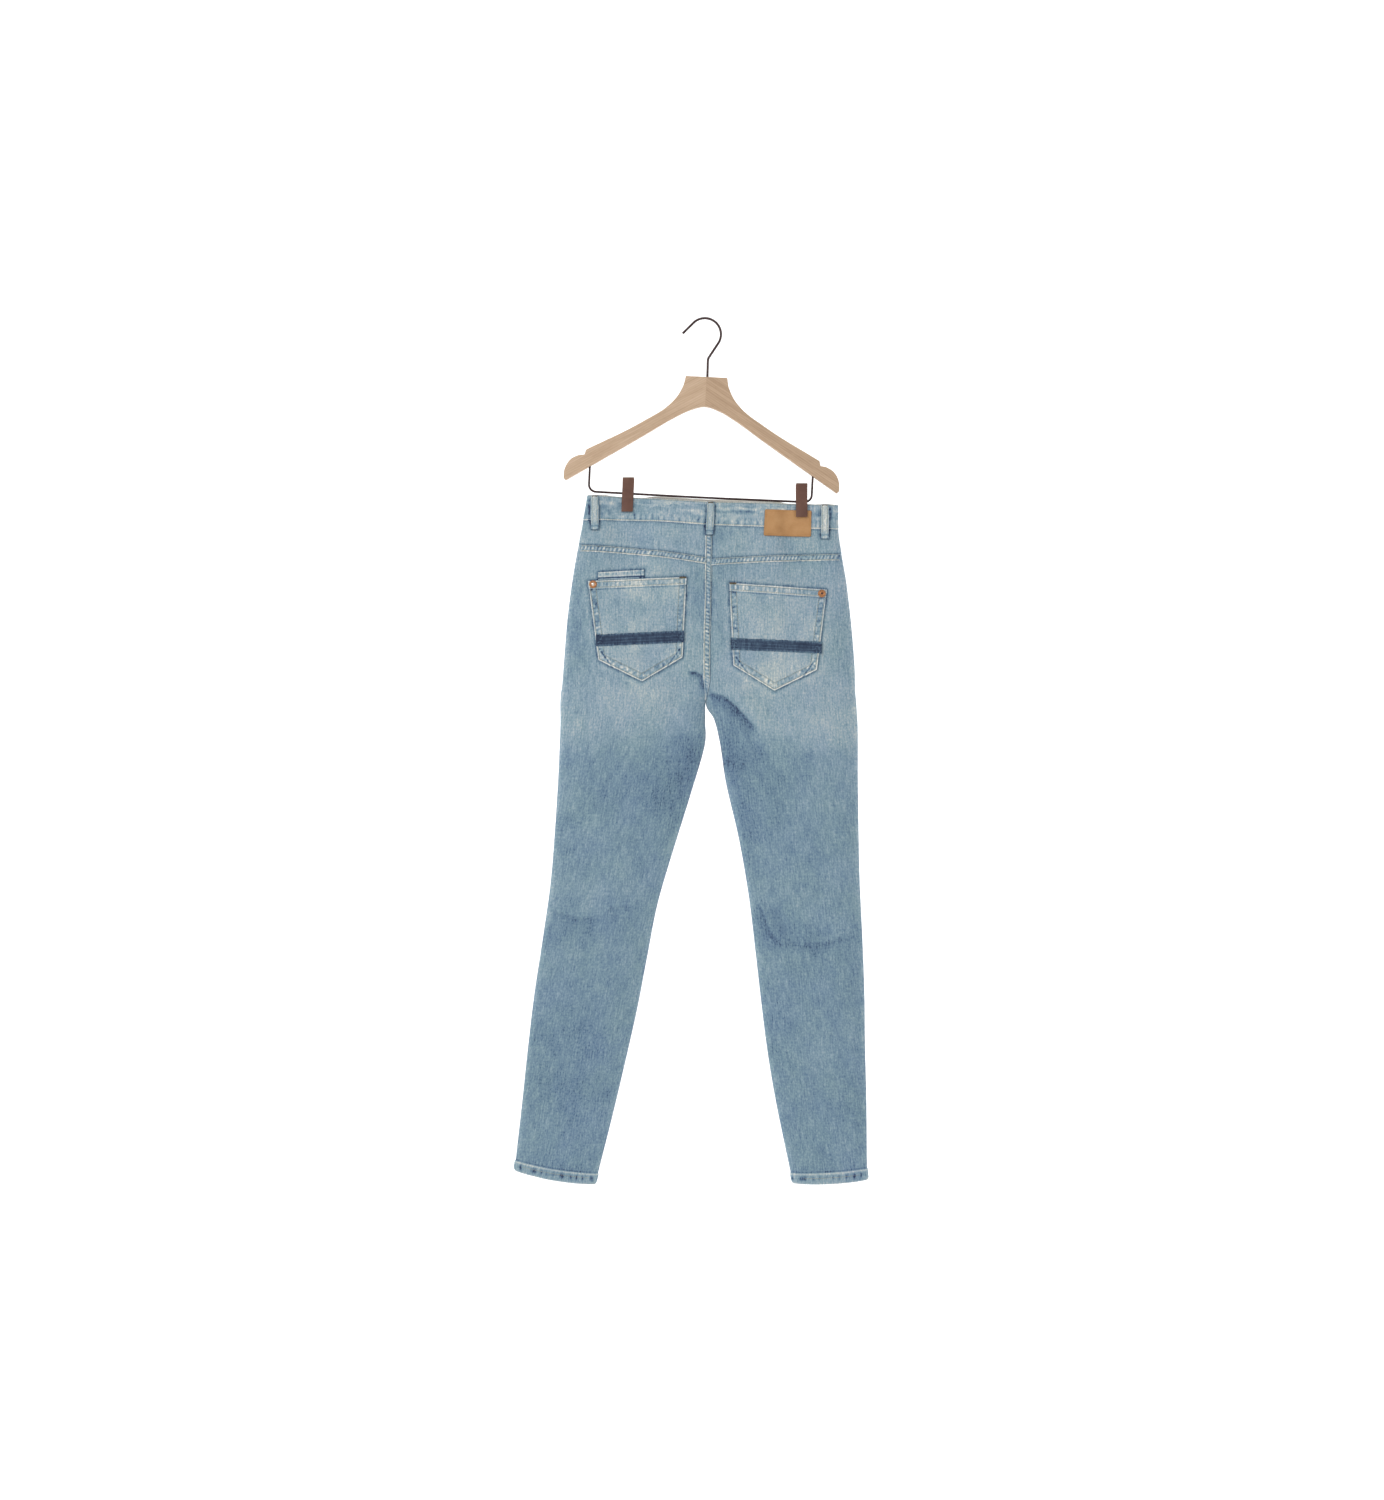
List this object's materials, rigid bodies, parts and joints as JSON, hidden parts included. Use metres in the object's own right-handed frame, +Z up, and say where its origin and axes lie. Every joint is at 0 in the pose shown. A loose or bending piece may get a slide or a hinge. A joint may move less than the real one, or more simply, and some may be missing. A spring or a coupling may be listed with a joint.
{
  "type": "jeans on a wooden clip hanger",
  "caption": "Light washed tapered jeans hung flat by the waistband from a wooden hanger with a wire hook, a trouser bar and spring clips.",
  "frame": {"origin": "the inside top of the hanger's hook, where a rail or a peg holds it", "axes": "+Z up, +X towards the wearer's right side, +Y towards the front of the jeans; the garment hangs flat in the XZ plane and its back faces -Y"},
  "size_m": [0.5384, 0.0427, 1.3142],
  "materials": {
    "denim": "light stone-washed blue denim twill, matt, paler along seams and edges",
    "dark_denim": "unfaded dark blue denim with close rows of stitching",
    "patch": "smooth tan leather, bare",
    "copper": "worn copper",
    "wood": "pale unvarnished beech",
    "wire": "dark bronze coated steel wire",
    "clip": "satin red-brown coating"
  },
  "bodies": {
    "root": {"waistband": "denim", "yoke_left": "denim", "yoke_right": "denim", "back_panel_left_seat": "denim", "back_panel_left_thigh": "denim", "back_panel_left_calf": "denim", "back_panel_right_seat": "denim", "back_panel_right_thigh": "denim", "back_panel_right_calf": "denim", "front_panel_left_seat": "denim", "front_panel_left_thigh": "denim", "front_panel_left_calf": "denim", "front_panel_right_seat": "denim", "front_panel_right_thigh": "denim", "front_panel_right_calf": "denim", "pocket_facing_left": "denim", "pocket_facing_right": "denim", "back_pocket_left": "denim", "back_pocket_right": "denim", "ticket_pocket": "denim", "fly": "denim", "belt_loop_back_left": "denim", "belt_loop_back_centre": "denim", "belt_loop_back_right": "denim", "belt_loop_front_left": "denim", "belt_loop_front_right": "denim", "pocket_band_left": "dark_denim", "pocket_band_right": "dark_denim", "waist_patch": "patch", "rivet_left": "copper", "rivet_right": "copper", "waist_button": "copper", "hanger_body": "wood", "hook": "wire", "trouser_bar": "wire", "clip_spring_left": "wire", "clip_spring_right": "wire", "clip_left_back": "clip", "clip_left_front": "clip", "clip_right_back": "clip", "clip_right_front": "clip"}
  },
  "joints": []
}
